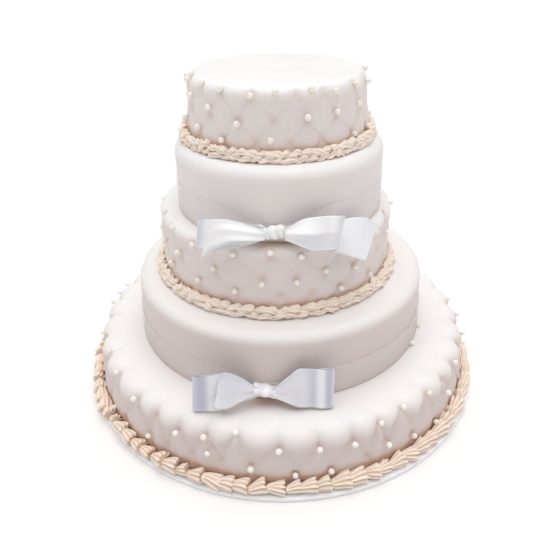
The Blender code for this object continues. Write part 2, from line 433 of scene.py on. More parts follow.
def roll_out(node):
    """A covered tier: a turned body whose rim is rounded over and whose wall is finely divided."""
    place, form = place_of(node), FORMS[node]
    bpy.ops.mesh.primitive_cone_add(
        vertices=form.columns, radius1=place.foot_radius, radius2=place.rim_radius,
        depth=place.height, location=(place.x, place.y, place.foot + place.height / 2))
    piece = bpy.context.object
    half = place.height / 2
    bpy.ops.object.mode_set(mode="EDIT")
    pick(piece, "edges", lambda edge: min(vert.co.z for vert in edge.verts) > 0)
    bpy.ops.mesh.bevel(offset=form.rounding, segments=RIM_STEPS, profile=0.5, affect="EDGES")
    wall_top = half - form.rounding * 1.5
    pick(piece, "edges", lambda edge: abs(edge.verts[0].co.z - edge.verts[1].co.z) > wall_top)
    bpy.ops.mesh.subdivide(number_cuts=form.wall_cuts)
    if form.top_cuts:
        pick(piece, "faces", lambda face: len(face.verts) > 4 and face.normal.z > 0)
        bpy.ops.mesh.inset(thickness=form.top_reach)
        pick(piece, "edges", lambda edge: is_spoke(edge, half, form.top_reach))
        bpy.ops.mesh.subdivide(number_cuts=form.top_cuts)
    bpy.ops.object.mode_set(mode="OBJECT")
    take_up(piece)
    bpy.ops.object.transform_apply(location=True, rotation=True, scale=True)
    return piece


def is_spoke(edge, top, reach):
    first, second = (vert.co for vert in edge.verts)
    if min(first.z, second.z) < top - MM / 10:
        return False
    return abs(first.xy.length - second.xy.length) > reach / 2


def surface_place(points, node):
    """Angle from +X, run up the wall and over the rim, and height above the foot, of each point."""
    place, form = place_of(node), FORMS[node]
    x, y, height = points[:, 0] - place.x, points[:, 1] - place.y, points[:, 2] - place.foot
    angle, radius = np.arctan2(y, x), np.hypot(x, y)
    bend_from = place.height - form.rounding
    flat_radius = place.rim_radius - form.rounding
    turn = np.arctan2(np.maximum(height - bend_from, 0), np.maximum(radius - flat_radius, 1e-9))
    run = np.where(height < bend_from, height, bend_from + form.rounding * turn)
    on_top = radius < flat_radius
    run = np.where(
        on_top & (height > bend_from),
        bend_from + form.rounding * math.pi / 2 + flat_radius - radius, run)
    return angle, run, height


def stitch_rows(quilt):
    """Rows of stitches as (degrees from the front, run), from the top one to one behind the piping."""
    rows = []
    for front in quilt.rows:
        rest = quilt.diamonds - len(front)
        step = (math.degrees(TURN) - (front[-1][0] - front[0][0])) / (rest + 1)
        run = sum(run for _, run in front) / len(front)
        behind = ((front[-1][0] + step * (extra + 1), run) for extra in range(rest))
        rows.append([(angle, run * MM) for angle, run in (*front, *behind)])
    last = rows[-1]
    drop = rows[-2][0][1] - last[0][1]
    nexts = last[1:] + [(last[0][0] + 360, last[0][1])]
    below = [((angle + follow) / 2, run - drop) for (angle, run), (follow, _) in zip(last, nexts)]
    return [*rows, below]


def seams(quilt):
    """Each seam's two ends: between neighbouring stitches of successive rows, and over the rim."""
    rows = stitch_rows(quilt)
    for upper, lower in zip(rows, rows[1:]):
        for spot, stitch in enumerate(lower):
            yield upper[spot], stitch
            yield upper[(spot + 1) % len(upper)], stitch
    for angle, run in rows[0]:
        yield (angle, run + FOLD_LENGTH), (angle, run)


def degrees_from_front(angle):
    return (np.degrees(angle - FRONT) + 180) % 360 - 180


def seam_fields(quilt, angle, run, radius):
    """At each point: how near the next seam is, how firm its groove is, and how near a stitch is."""
    draw = random.Random(quilt.seed)
    side = degrees_from_front(angle)
    near = np.full(len(angle), FAR)
    groove = np.zeros(len(angle))
    stitch = np.full(len(angle), FAR)
    for (start, start_run), (end, end_run) in seams(quilt):
        firm = draw.uniform(0.45, 1.15)
        turn = (end - start + 180) % 360 - 180
        away = (side - start + 180) % 360 - 180
        middle, half = (start_run + end_run) / 2, abs(start_run - end_run) / 2
        in_reach = (np.abs(away) < SEAM_REACH_DEGREES) & (np.abs(run - middle) < half + SEAM_REACH)
        close = np.nonzero(in_reach)[0]
        across = np.radians(away[close]) * radius
        up = run[close] - start_run
        seam = np.array([math.radians(turn) * radius, end_run - start_run])
        length = float(np.hypot(*seam))
        share = np.clip((across * seam[0] + up * seam[1]) / length ** 2, 0, 1)
        bow = draw.uniform(-1.2, 1.2) * MM * np.sin(math.pi * share)
        off = np.abs(np.hypot(across - share * seam[0], up - share * seam[1]) + bow * 0.5)
        near[close] = np.minimum(near[close], off)
        groove[close] = np.maximum(groove[close], firm / (1 + (off / quilt.groove_reach) ** 2))
        stitch[close] = np.minimum(stitch[close], np.hypot(across, up))
    return near, groove, stitch


def quilt_depths(quilt, run, near, groove, stitch):
    """How deep a padded wall is pressed in: grooves along its seams between pillows, and dimples."""
    firm = mix(quilt.slack, 1.0, smoothstep((run - quilt.firm_from) / quilt.firm_over))
    soft = np.sqrt(near ** 2 + SEAM_SOFTNESS ** 2) - SEAM_SOFTNESS
    pillow = quilt.pillow * np.exp(-soft / quilt.pillow_reach)
    dimple = quilt.dimple * np.exp(-((stitch / DIMPLE_REACH) ** 2))
    kept = 1 - smoothstep((run - quilt.fade_from) / quilt.fade_over)
    return ((quilt.groove * groove + pillow) * firm + dimple) * kept


def settled(node, run, height):
    """1 on a tier's wall and rim, and 0 at its foot and on the flat of its top."""
    place, form = place_of(node), FORMS[node]
    arc = place.height - form.rounding + form.rounding * math.pi / 2
    last_ring = arc + form.top_reach
    fade_over = max(form.top_reach / 2, form.rounding / 2)
    return smoothstep(height / (3 * MM)) * smoothstep((last_ring - run) / fade_over)


def make_quilted_tier(node, material):
    piece = roll_out(node)
    quilt, place = QUILTS[node], place_of(node)
    angle, run, height = surface_place(points_of(piece), node)
    near, groove, stitch = seam_fields(quilt, angle, run, place.foot_radius)
    depths = quilt_depths(quilt, run, near, groove, stitch)
    depths = depths + PADDED_SWELL * (1 + waves(angle, run, quilt.seed + 2, 25 * MM))
    shade_tier(piece, node, near, stitch)
    sink_relief(piece, depths * settled(node, run, height))
    return finish_piece(piece, f"quilted_{node}", material, "fondant", node)


def make_plain_tier(node, material):
    piece = roll_out(node)
    angle, run, height = surface_place(points_of(piece), node)
    depths = PLAIN_SWELL * (1 + waves(angle, run, 7, 40 * MM))
    nowhere = np.full(len(run), FAR)
    shade_tier(piece, node, nowhere, nowhere)
    sink_relief(piece, depths * settled(node, run, height))
    return finish_piece(piece, f"plain_{node}", material, "fondant", node)


def shade_tier(piece, node, near, stitch):
    """Paints the painted shade on each point of a tier, and the painted amber shade at its foot, round
    its stitches and under the bows.
    """
    points = points_of(piece)
    place, form = place_of(node), FORMS[node]
    run = surface_place(points, node)[1]
    height = points[:, 2] - place.foot
    dip = FOLD_SHADE.get(node, 0.0) * np.exp(-near / FOLD_SHADE_WIDTH)
    wall = 1 - smoothstep((run - place.height + form.rounding + 3 * MM - dip) / (form.rounding * 1.2))
    paint(piece, "painted_shade", mix(TOP_SHADE.get(node, 0.0), WALL_SHADE[node], wall))
    piped = height - (piped_height(PIPINGS[BORDERED[node]]) if node in BORDERED else 0.0)
    # Painted amber shade just above the piping or the foot, round the stitches and under the bows.
    warm_shade = FOOT_WARM_SHADE[node] * np.exp(-np.maximum(piped, 0) / WARM_SHADE_RISE)
    ring = STITCH_WARM_SHADE * np.exp(-((stitch / STITCH_WARM_SHADE_REACH) ** 2))
    warm_shade = warm_shade + ring * (height < place.height - MM)
    for spot_node, aim, reach, strength in SHADE_SPOTS:
        if spot_node == node:
            off = (points - (Vector(aim) * MM)) / (Vector(reach) * MM)
            warm_shade = warm_shade + strength * np.exp(-(off ** 2).sum(axis=1))
    paint(piece, "warm_shade", np.clip(warm_shade, 0, 1))


# How much painted shade each tier's wall and top have, and how much painted amber shade it has at its
# foot or just above the piping round it.
WALL_SHADE = {"tier_1": 1.0, "tier_2": 1.0, "tier_3": 0.72, "tier_4": 0.50, "tier_5": 0.55}
TOP_SHADE = {"tier_1": 0.22, "tier_2": 0.18}
FOOT_WARM_SHADE = {"tier_1": 0.62, "tier_2": 0.45, "tier_3": 0.5, "tier_4": 0.4, "tier_5": 0.5}
WARM_SHADE_RISE = 2.2 * MM
# Painted amber shade round each stitch on a wall, where a pearl is pressed in.
STITCH_WARM_SHADE = 0.22
STITCH_WARM_SHADE_REACH = 4.5 * MM
FOLD_SHADE = {"tier_1": 9 * MM}  # how much further in over the rim the painted shade reaches at a fold
FOLD_SHADE_WIDTH = 7 * MM
BORDERED = {"tier_1": "border_1", "tier_3": "border_3", "tier_5": "border_5"}
# Amber shade under the bows: (tier, centre, reach, strength), in millimetres.
SHADE_SPOTS = (
    ("tier_1", (-13, -147, 59.5), (26, 5, 12), 0.55),
    ("tier_2", (-13, -144, 64), (26, 12, 9), 0.45),
    ("tier_3", (-6, -101, 189), (22, 8, 12), 0.55),
)


# ---------------------------------------------------------------- pearls

# The pearls in front, as (degrees from the front, distance up the wall and in over the rim).
PEARLS = {
    "tier_1": (
        (-107, 51), (-102, 50), (-96, 50), (-78, 52), (-66, 57), (-56, 54),
        (-44, 49), (-56, 13), (-38, 20), (-28, 41), (-20, 46), (-19, 30),
        (-12, 55), (-8, 21), (-1, 42), (3, 15), (9, 41), (12, 15), (18, 39),
        (28, 25), (26, 50), (37, 18), (34, 54), (44, 51), (47, 12), (53, 33),
        (61, 49), (73, 45), (79, 42), (87, 48), (94, 54)),
    "tier_2": ((61, 2), (74, 2)),
    "tier_3": (
        (-71, 66), (-66, 40), (-58, 25), (-50, 42), (-55, 62), (-39, 57),
        (-37, 24), (-28, 41), (-18, 23), (-18, 58), (-6, 32), (-2, 61),
        (9, 33), (11, 57), (22, 40), (30, 19), (38, 35), (49, 18),
        (52, 58), (66, 46), (68, 66)),
    "tier_5": (
        (-77, 19), (-76, 50), (-72, 56), (-63, 41), (-53, 19), (-52, 54),
        (-43, 37), (-35, 52), (-33, 14), (-23, 28), (-15, 49), (-4, 17),
        (-1, 52), (17, 33), (20, 53), (36, 34), (36, 49), (50, 13),
        (55, 50), (56, 35), (70, 12), (76, 47)),
}


PEARL_RADII = (2.35, 2.85)  # smallest and largest, in millimetres
PEARL_KEPT = 0.93  # of the stitches behind, the share that has a pearl
PEARL_STRAY = 1.6  # up or down from its stitch, in millimetres


def pearl_places(node, seed):
    """Where pearls are pressed in, and how large each is: uneven in front, by the stitches behind."""
    draw = random.Random(seed)
    place, form = place_of(node), FORMS[node]
    known = [(angle, run * MM) for angle, run in PEARLS[node]]
    sunk = 0.0
    if node in QUILTS:
        quilt = QUILTS[node]
        sunk = quilt.dimple * 0.5
        reach = max(abs(angle) for angle, _ in known) + 180 / quilt.diamonds
        for angle, run in itertools.chain(*stitch_rows(quilt)[:len(quilt.rows)]):
            if abs((angle + 180) % 360 - 180) > reach and draw.random() < PEARL_KEPT:
                known.append((angle, run + draw.gauss(0, PEARL_STRAY) * MM))
    for angle, run in known:
        radius = draw.uniform(*PEARL_RADII) * MM
        yield on_tier(place, form, FRONT + math.radians(angle), run, radius * 0.5 - sunk), radius


def on_tier(place, form, angle, run, out):
    """The point at a run up a tier's wall and over its rim, and a distance out from its surface."""
    bend_from = place.height - form.rounding
    turn = min(max(run - bend_from, 0) / form.rounding, math.pi / 2)
    flat = place.rim_radius - form.rounding
    if run < bend_from:
        radius = mix(place.foot_radius, place.rim_radius, run / place.height) + out
        height = run
    else:
        radius = flat + (form.rounding + out) * math.cos(turn)
        height = bend_from + (form.rounding + out) * math.sin(turn)
    return Vector((
        place.x + radius * math.cos(angle), place.y + radius * math.sin(angle),
        place.foot + height))


def make_pearls(node, seed, material):
    bpy.ops.mesh.primitive_ico_sphere_add(subdivisions=2, radius=1.0)
    pattern = bpy.context.object
    draw = random.Random(seed + 1)
    places, tints = [], []
    for centre, radius in pearl_places(node, seed):
        turn = Matrix.Rotation(draw.uniform(0, TURN), 4, "Z")
        places.append(Matrix.Translation(centre) @ turn @ Matrix.Scale(radius, 4))
        tints.append(draw.random())
    pearls = join_copies(pattern, places, tints)
    return finish_piece(pearls, f"pearls_{node}", material, "sugar_pearl")


# ---------------------------------------------------------------- piping

# A shell's outline: how many ridges it has, its radius and its place along at each of SHELL_MARKS, as
# shares of its size, how deep its grooves are, how far its ridges' tips reach out, how much it twists
# and bends, and how much painted amber shade its grooves get.
Shell = namedtuple("Shell", "ridges radius along depth tips twist bend amber")
SHELL_MARKS = (0.0, 0.1, 0.25, 0.45, 0.62, 0.76, 0.87, 1.0)
FAN = Shell(
    9, (0.0, 0.22, 0.32, 0.43, 0.52, 0.58, 0.58, 0.0),
    (-0.5, -0.46, -0.32, -0.08, 0.14, 0.33, 0.43, 0.35), 0.44, 0.13, 0.4, 0.05, 0.85)
LEAF = Shell(
    5, (0.0, 0.24, 0.40, 0.50, 0.53, 0.46, 0.31, 0.0),
    (-0.5, -0.45, -0.30, -0.05, 0.15, 0.34, 0.45, 0.49), 0.50, 0.10, 1.3, 0.16, 0.22)
# Chains of piped shells, one above the other: how many shells are in a chain, how many chains, how
# long a shell is beside its step, how wide and high in millimetres, and how much they tumble.
Piping = namedtuple("Piping", "tier shell shells chains length width height tumble seed")
PIPINGS = {
    "border_1": Piping("tier_1", FAN, 90, 1, 1.26, 13.2, 12.5, 0.45, 3),
    "border_3": Piping("tier_3", LEAF, 68, 2, 1.45, 8.2, 7.2, 0.9, 5),
    "border_5": Piping("tier_5", LEAF, 60, 2, 1.45, 7.4, 6.2, 0.9, 8),
}
SIT = 0.43  # height of a chain's middle, as a share of its shells' height
CHAIN_RISE = 0.68  # from one chain's middle to the next one's, as a share of the same
CHAIN_SET_BACK = 0.14  # of the upper chain, as a share of its shells' width
STAND_OFF = 0.33  # of a chain's middle from the wall, as a share of its shells' width
# How unevenly shells are piped: along the chain as a share of a step, in size as a share, up or down in
# millimetres, and turned and leant in radians.
STRAY, SIZE_SPREAD, LIFT_SPREAD, TURN_SPREAD, LEAN_SPREAD = 0.09, 0.09, 0.3, 0.14, 0.19


def piped_height(piping):
    return (SIT + CHAIN_RISE * (piping.chains - 1) + 0.5) * piping.height * MM


def pipe_shell(shape):
    """One piped shell, 1 long, 1 wide and 1 high: ridges that fan from its tail to curled tips."""
    bpy.ops.mesh.primitive_uv_sphere_add(segments=4 * shape.ridges, ring_count=11, radius=0.5)
    shell = bpy.context.object
    bpy.ops.object.mode_set(mode="EDIT")
    bpy.ops.mesh.select_all(action="SELECT")
    bpy.ops.transform.rotate(value=math.pi / 2, orient_axis="Y", center_override=(0, 0, 0))
    bpy.ops.object.mode_set(mode="OBJECT")
    points = points_of(shell)
    share = np.arccos(np.clip(-2 * points[:, 0], -1, 1)) / math.pi
    around = np.arctan2(points[:, 2], points[:, 1])
    lobe = 1 - (0.5 - 0.5 * np.cos(shape.ridges * around + 0.8)) ** 1.4
    depth = shape.depth * smoothstep(share * 2.6)
    radius = np.interp(share, SHELL_MARKS, shape.radius) * (1 - depth * (1 - lobe))
    curl = smoothstep((share - 0.4) / 0.35) * smoothstep((1 - share) / 0.12)
    x = np.interp(share, SHELL_MARKS, shape.along) + shape.tips * (lobe - 0.5) * curl
    turned = around + shape.twist * x
    z = radius * np.sin(turned) + shape.bend * np.sin(TURN * x)
    move_points(shell, np.stack([x, radius * np.cos(turned), z], axis=1))
    # Painted amber shade down in the grooves and in the hollow end of the head.
    end = smoothstep((share - 0.84) / 0.08)
    groove = np.clip((1 - lobe) ** 2 * smoothstep(share * 4) + 0.35 * end, 0, 1)
    paint(shell, "groove", groove * shape.amber)
    return shell


def flatten_foot(piece, lowest):
    """Presses a piece flat where it rests."""
    points = points_of(piece)
    points[:, 2] = np.maximum(points[:, 2], lowest)
    move_points(piece, points)


def make_border(node, material):
    """A ring of shells, in one chain or two, piped round a tier's foot."""
    piping = PIPINGS[node]
    place = place_of(piping.tier)
    width, height = piping.width * MM, piping.height * MM
    radius = place.foot_radius + width * STAND_OFF
    pitch = TURN * radius / piping.shells
    draw = random.Random(piping.seed)
    places = []
    for number in range(piping.shells * piping.chains):
        chain = number % piping.chains
        angle = TURN * (number / piping.chains + draw.gauss(0, STRAY)) / piping.shells
        size = draw.gauss(1.0, SIZE_SPREAD)
        out = radius - chain * width * CHAIN_SET_BACK
        middle = Vector((
            place.x + out * math.cos(angle), place.y + out * math.sin(angle),
            place.foot + height * (SIT + CHAIN_RISE * chain) + draw.gauss(0, LIFT_SPREAD) * MM))
        turn = Matrix.Rotation(angle + math.pi / 2 + draw.gauss(0, TURN_SPREAD), 4, "Z")
        lean = Matrix.Rotation(draw.gauss(0.0, LEAN_SPREAD), 4, "Y")
        roll = Matrix.Rotation(draw.gauss(0, piping.tumble), 4, "X")
        scale = Matrix.Diagonal((pitch * piping.length * size, width * size, height * size, 1.0))
        places.append(Matrix.Translation(middle) @ turn @ lean @ scale @ roll)
    shells = join_copies(pipe_shell(piping.shell), places)
    flatten_foot(shells, place.foot + 0.1 * MM)
    return finish_piece(shells, f"piped_{node}", material, "piping_cream", node)


# ---------------------------------------------------------------- ribbons

# A station of a ribbon that stands on edge, in millimetres: how far along and out from the knot its
# middle is, the heights of its lower and upper edge, how far the upper edge is beyond and behind the
# lower one, how far its ridge stands out, and the painted brightness of its lower and upper part.
Station = namedtuple("Station", "along out low high slant lean ridge dim bright")
RIDGE_AT = 0.58  # how far up the ribbon its ridge is, as a share of its width
RIBBON_THICKNESS = 0.35 * MM
LOWER_WIDTH = 38 * MM
# The upper bow's ribbon is 28 mm wide or more. Its left loop has too little cloth for that, so the
# width that is stated, and that sets its pleats' depth, is less.
UPPER_WIDTH = 24 * MM
PLEATS = 2
PLEAT_DEPTH = 0.22  # as a share of what would take up all the ribbon's width
EDGE_HIGHLIGHT = 0.35  # painted highlight along a ribbon's lower edge, where its fold would catch the light
EDGE_HIGHLIGHT_REACH = 0.05  # as a share of the ribbon's width
LOOP_CUTS, TAIL_CUTS, KNOT_CUTS, BAND_CUTS = (160, 24), (80, 16), (48, 20), (360, 12)


def smooth_rows(rows, count):
    """A smooth curve through rows of numbers, read evenly along its first two columns."""
    rows = np.array(rows, float)
    steps = np.maximum(np.hypot(np.diff(rows[:, 0]), np.diff(rows[:, 1])), 1e-6) ** 0.5
    knots = np.concatenate([[0], np.cumsum(steps)])
    slopes = np.gradient(rows, knots, axis=0)
    fine = np.linspace(0, knots[-1], 40 * len(rows))
    span = np.clip(np.searchsorted(knots, fine, side="right") - 1, 0, len(rows) - 2)
    width = knots[span + 1] - knots[span]
    t = ((fine - knots[span]) / width)[:, None]
    width = width[:, None]
    curve = (
        (2 * t ** 3 - 3 * t ** 2 + 1) * rows[span] + (t ** 3 - 2 * t ** 2 + t) * width * slopes[span]
        + (3 * t ** 2 - 2 * t ** 3) * rows[span + 1] + (t ** 3 - t ** 2) * width * slopes[span + 1])
    length = np.concatenate([[0], np.cumsum(np.hypot(*np.diff(curve[:, :2], axis=0).T))])
    even = np.linspace(0, length[-1], count)
    return np.stack([np.interp(even, length, column) for column in curve.T], axis=1)


def cut_ribbon(cuts, surface, painted_light=None):
    """A ribbon laid from a flat grid: surface(u, v) gives its points, u along it and v across it."""
    bpy.ops.mesh.primitive_grid_add(
        x_subdivisions=cuts[0], y_subdivisions=cuts[1], size=1.0, calc_uvs=True)
    piece = bpy.context.object
    flat = points_of(piece) + 0.5
    move_points(piece, surface(flat[:, 0], flat[:, 1]))
    if painted_light:
        paint(piece, "painted_light", np.clip(painted_light(flat[:, 0], flat[:, 1]), 0, 1))
    return piece


def lay_stations(stations, width, place, knot):
    """Points and painted light at (u, v) of a ribbon along its stations, pleated where it narrows."""
    rows = smooth_rows(stations, 400)
    shares = np.linspace(0, 1, len(rows))
    heading = np.gradient(rows[:, :2], axis=0)
    heading /= np.maximum(np.hypot(heading[:, 0], heading[:, 1]), 1e-9)[:, None]

    def surface(u, v):
        along, out, low, high, slant, lean, ridge = (
            np.interp(u, shares, column) * MM for column in rows.T[:7])
        side = np.stack([np.interp(u, shares, heading[:, 1]), np.interp(u, shares, heading[:, 0])])
        tight = np.sqrt(np.maximum(width / np.maximum(high - low, MM) - 1, 0))
        deep = (high - low) / (math.pi * PLEATS) * tight * PLEAT_DEPTH
        fold = deep * np.sin(TURN * PLEATS * v + 0.6)
        tent = np.interp(v, (0, RIDGE_AT, 1), (0, 1, 0)) ** 1.2
        bulge = ridge * tent + fold
        x = along + slant * (v - 0.5) - side[0] * bulge * 0.35
        forward = out + lean * (0.5 - v) + bulge * np.abs(side[1]) + bulge * 0.3
        return np.stack([
            knot.x + x, np.full_like(x, place.y - place.foot_radius) - forward,
            place.foot + mix(low, high, v)], axis=1)

    def painted_light(u, v):
        painted_dim, bright = (np.interp(u, shares, column) for column in rows.T[7:])
        return mix(painted_dim, bright, smoothstep((v - RIDGE_AT) / 0.12 + 0.5))

    return surface, painted_light


def make_loop(node, stations, width, bright, place, knot, material, rest):
    """A bow's loop: a ribbon on edge that runs out behind, turns, and comes back in front."""
    surface, painted_light = lay_stations(stations, width, place, knot)

    # Painted light and shade along the loop, and a painted highlight along its lower edge.
    def edged(u, v):
        return painted_light(u, v) * bright + EDGE_HIGHLIGHT * np.exp(-v / EDGE_HIGHLIGHT_REACH)

    piece = cut_ribbon(LOOP_CUTS, surface, edged)
    apply_modifier(piece, "SOLIDIFY", thickness=RIBBON_THICKNESS, offset=0.0)
    finish_piece(piece, f"satin_{node}", material, "satin_ribbon", node)
    path = np.array([[station.along, station.out] for station in stations]) * MM
    length = float(np.hypot(*np.diff(path, axis=0).T).sum())
    return piece


def knot_of(node):
    low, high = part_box(node)
    return (low + high) / 2


LOWER_LEFT = (
    Station(-5, 5, 10, 17, 0, 0, 0, 0.7, 0.7),
    Station(-14, 6, 7, 23, 0, 1, 0, 0.7, 0.7),
    Station(-34, 8.5, 4, 35, 0, 4, 0, 0.7, 0.7),
    Station(-50, 10.5, 1, 36.5, 0, 2, 0, 0.7, 0.7),
    Station(-60, 11.2, 1, 38, 3.5, 0, 0, 0.2, 0.2),
    Station(-61.6, 12.4, 1, 38.5, 3.5, 0, 0, 0.15, 0.15),
    Station(-60.2, 13.6, 1, 38.5, 3.5, 0, 0, 0.3, 0.3),
    Station(-56, 14.0, 1, 38.5, 3, 0.5, 0, 0.0, 0.0),
    Station(-51.5, 13.7, 1, 38.3, 2, 1, 0, 0.15, 0.15),
    Station(-47, 13.2, 1, 38, 2, 2, 0, 0.95, 0.9),
    Station(-38.5, 12.6, 1.5, 38, 3, 4, 0, 0.6, 0.6),
    Station(-36.5, 12.9, 3.5, 38, 4, 6, 0, 0.3, 0.3),
    Station(-38.5, 13.8, 6.5, 38.2, 5, 8, 0, 0.3, 0.4),
    Station(-40.6, 14.4, 13.0, 38.5, 5.5, 9, 0, 1.0, 0.85),
    Station(-39.0, 14.6, 9.5, 38.8, 5, 10, 0.5, 0.95, 0.75),
    Station(-34, 14.0, 8.0, 38.4, 4, 10, 1.5, 0.85, 0.65),
    Station(-29, 13.0, 8.5, 36.5, 3, 9, 1.8, 0.85, 0.65),
    Station(-22, 11.2, 11.5, 32, 2, 7, 2.0, 1.0, 0.65),
    Station(-12, 8.4, 13.0, 23.5, 0, 3, 0.8, 1.0, 0.8),
    Station(-4, 7.0, 11, 17.5, 0, 1, 0.3, 0.9, 0.9),
)
LOWER_RIGHT = (
    Station(5, 5, 10, 17, 0, 0, 0, 0.7, 0.7),
    Station(14, 6, 8, 25, 0, 1, 0, 0.7, 0.7),
    Station(34, 7.0, 4, 36, 0, 3, 0, 0.7, 0.7),
    Station(50, 6.5, 1, 38, 0, 4, 0, 0.7, 0.7),
    Station(54.5, 7.0, 1, 38.2, 0, 4, 0, 0.45, 0.45),
    Station(56.0, 8.3, 1, 38.4, 0, 4, 0, 0.4, 0.4),
    Station(55.0, 9.4, 1, 38.6, 0, 4.5, 0, 0.45, 0.45),
    Station(52.5, 10.0, 1, 38.8, 0, 5, 0, 0.05, 0.05),
    Station(49.5, 10.4, 1, 38.8, 0, 5, 0, 0.3, 0.3),
    Station(47.5, 10.6, 1.2, 38.8, 0, 5, 0, 1.0, 1.0),
    Station(43, 10.0, 1.5, 38.8, 0, 6, 0, 1.0, 1.0),
    Station(39.5, 9.2, 2.0, 38.8, 0, 6, 0, 0.35, 0.4),
    Station(32, 9.4, 2.6, 39, 0, 7, 0.5, 0.75, 0.7),
    Station(26, 9.8, 4, 38.6, 0, 8, 2, 0.75, 0.75),
    Station(18, 9.4, 7.5, 31, 0, 7, 2.5, 1.0, 0.65),
    Station(10, 8.2, 9.5, 23, 0, 4, 1.0, 1.0, 0.7),
    Station(4, 7.0, 9.5, 17, 0, 1, 0.3, 0.9, 0.9),
)
UPPER_LEFT = (
    Station(-8, 5, 8, 16, 0, 0, 0, 0.7, 0.7),
    Station(-26, 6, 9, 21, 0, 2, 0, 0.7, 0.7),
    Station(-46, 7.5, 5, 24, 0, 2, 0, 0.7, 0.7),
    Station(-58, 8, 3, 25, 3, 1, 0, 0.4, 0.4),
    Station(-61.2, 9.2, 2.5, 25.5, 4, 1, 0, 0.3, 0.35),
    Station(-59.5, 10.6, 2.5, 25.8, 4, 1, 0, 0.35, 0.4),
    Station(-54, 11.2, 3.0, 25.8, 3, 2, 0, 0.8, 0.85),
    Station(-46, 11.4, 6, 25.5, 1, 5, 0.5, 0.95, 1.0),
    Station(-37, 11.6, 9.5, 24.5, 0, 8, 1, 0.9, 0.95),
    Station(-25, 11.4, 9.5, 21, 0, 8, 1, 0.95, 0.95),
    Station(-15, 11.0, 8.5, 18, 0, 5, 0.5, 0.85, 0.95),
    Station(-8, 10.5, 7.5, 16.5, 0, 1, 0, 0.8, 0.9),
)
UPPER_RIGHT = (
    Station(8, 5, 8, 16, 0, 0, 0, 0.7, 0.7),
    Station(26, 6, 7, 21, 0, 2, 0, 0.7, 0.7),
    Station(42, 6.5, 2, 24, 0, 2, 0, 0.7, 0.7),
    Station(50.5, 7.5, 0, 26, 4, 2, 0, 0.4, 0.4),
    Station(52.5, 8.8, -0.5, 26.5, 5, 2, 0, 0.35, 0.35),
    Station(51, 10.2, -1, 26.8, 5, 2, 0.5, 0.5, 0.45),
    Station(46, 10.8, -1.2, 27.2, 4, 3, 2.5, 0.65, 1.0),
    Station(40, 11.0, -1.2, 27.0, 3, 4, 4, 0.6, 0.8),
    Station(31, 10.8, -1.0, 25.8, 1, 5, 5.5, 0.55, 0.9),
    Station(22, 10.6, 2.0, 24, 0, 5, 5.0, 0.6, 1.0),
    Station(14, 10.6, 5.5, 20, 0, 3, 3, 0.75, 0.9),
    Station(8, 10.4, 7.5, 17, 0, 1, 1, 0.8, 0.9),
)
# A loose end: both edges at each step, as (along, out, height) in millimetres, and the brightness of
# its painted light.
Loose = namedtuple("Loose", "low high bright")
TAIL_LEFT = (
    Loose((-7, 9, 8.5), (-7, 3, 15), 0.8),
    Loose((-14, 12, 6.5), (-14, -3, 16), 0.9),
    Loose((-28, 13, 3.0), (-27, -8, 14), 1.0),
    Loose((-42, 12, 1.0), (-41, -11, 11), 0.9),
    Loose((-51, 10.5, -2.5), (-49, -14, 9), 0.85),
    Loose((-60, 9, -8.5), (-56, -17, 5.0), 0.9),
)
TAIL_RIGHT = (
    Loose((7, 8, 9), (7, 1, 15), 0.8),
    Loose((20, 11, 4), (20, -3, 15), 0.75),
    Loose((36, 12, -1), (37, -6, 15), 0.7),
    Loose((48, 11, -4.5), (52, -8, 15.5), 0.7),
    Loose((58, 9.5, -8), (64, -11, 16), 0.72),
    Loose((66, 7.5, -12), (77, -16, 13), 0.7),
    Loose((74, 4, -16.5), (86, -21, 2), 0.78),
)


GATHER_REACH = 48 * MM  # how far to each side of the bow a band is gathered, and half its width there
GATHERED_HALF = 5 * MM
BAND_SWAY = 0.3 * MM
BAND_STAND_OFF = 0.6 * MM
TAIL_SAG = 0.9 * MM


def make_band(node, tier, bow_knot, material):
    """The ribbon round a tier's foot, gathered into pleats where the bow is tied over it."""
    place = place_of(tier)
    low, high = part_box(node)
    knot = knot_of(bow_knot)
    knot_angle = math.atan2(knot.y - place.y, knot.x - place.x)
    width = high.z - low.z
    middle = knot.z - place.foot

    def surface(u, v):
        angle = knot_angle + math.pi + u * TURN
        spread = smoothstep(np.abs(((u - 0.5) * TURN * place.foot_radius) / GATHER_REACH))
        half = mix(GATHERED_HALF, width / 2, spread)
        centre = mix(middle, width / 2 + 0.3 * MM, spread)
        height = centre + (v - 0.5) * 2 * half
        pleat = (1 - spread) * 0.5 * MM * np.sin(TURN * 3 * v)
        sway = BAND_SWAY * waves(angle, height, 41, 30 * MM)
        radius = mix(place.foot_radius, place.rim_radius, height / place.height)
        radius = radius + BAND_STAND_OFF + pleat + np.abs(sway)
        return np.stack([
            place.x + radius * np.cos(angle), place.y + radius * np.sin(angle),
            place.foot + height], axis=1)

    piece = cut_ribbon(BAND_CUTS, surface)
    apply_modifier(piece, "WELD", merge_threshold=0.01 * MM)
    finish_piece(piece, f"satin_{node}", material, "satin_ribbon", node)
    return piece


